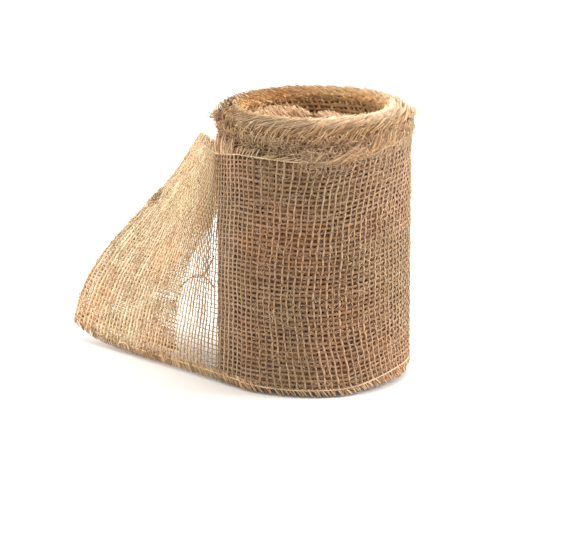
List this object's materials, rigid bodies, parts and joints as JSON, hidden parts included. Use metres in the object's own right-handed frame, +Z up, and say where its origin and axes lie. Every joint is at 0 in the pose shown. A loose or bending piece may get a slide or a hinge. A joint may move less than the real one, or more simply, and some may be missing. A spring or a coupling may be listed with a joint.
{
  "type": "ribbon roll",
  "caption": "Coreless roll of wide jute burlap ribbon standing on end, its wound turns pushed up out of the loose outer wrap and its free end folded back.",
  "frame": {"origin": "the wound roll's axis at floor level", "axes": "+Z up the roll's axis, -Y towards the front, +X to the right, away from the tail"},
  "size_m": [0.1987, 0.1575, 0.159],
  "materials": {
    "burlap": "open plain weave of natural jute yarn, matt",
    "lock_stitch": "twisted jute thread, matt"
  },
  "bodies": {
    "wrap": {"outer_wrap": "burlap", "under_wrap": "burlap", "wrap_stitch_top": "lock_stitch", "wrap_stitch_bottom": "lock_stitch"},
    "tail": {"tail_front": "burlap", "tail_fold": "burlap", "tail_return": "burlap", "tail_stitch_top": "lock_stitch", "tail_stitch_bottom": "lock_stitch"},
    "outer_turns": {"turn_01": "burlap", "turn_02": "burlap", "turn_03": "burlap", "turn_04": "burlap", "turn_05": "burlap"},
    "inner_turns": {"turn_06": "burlap", "turn_07": "burlap", "turn_08": "burlap", "turn_09": "burlap", "turn_10": "burlap"},
    "coil": {"coil_turn_1": "burlap", "coil_turn_2": "burlap", "coil_turn_3": "burlap"}
  },
  "joints": [
    {"name": "roll_unwind", "type": "hinge", "parent": "wrap", "child": "outer_turns", "pos_m": [0, 0, 0], "axis": [0, 0, 1], "continuous": true},
    {"name": "turns_telescope", "type": "slide", "parent": "outer_turns", "child": "inner_turns", "axis": [0, 0, 1], "range_m": [-0.017, 0.06]},
    {"name": "coil_lift", "type": "slide", "parent": "outer_turns", "child": "coil", "axis": [0, 0, 1], "range_m": [-0.01, 0.1]},
    {"name": "tail_swing", "type": "hinge", "parent": "wrap", "child": "tail", "pos_m": [-0.04162, -0.03747, 0], "axis": [0, 0, 1], "range_deg": [0, 60]}
  ]
}
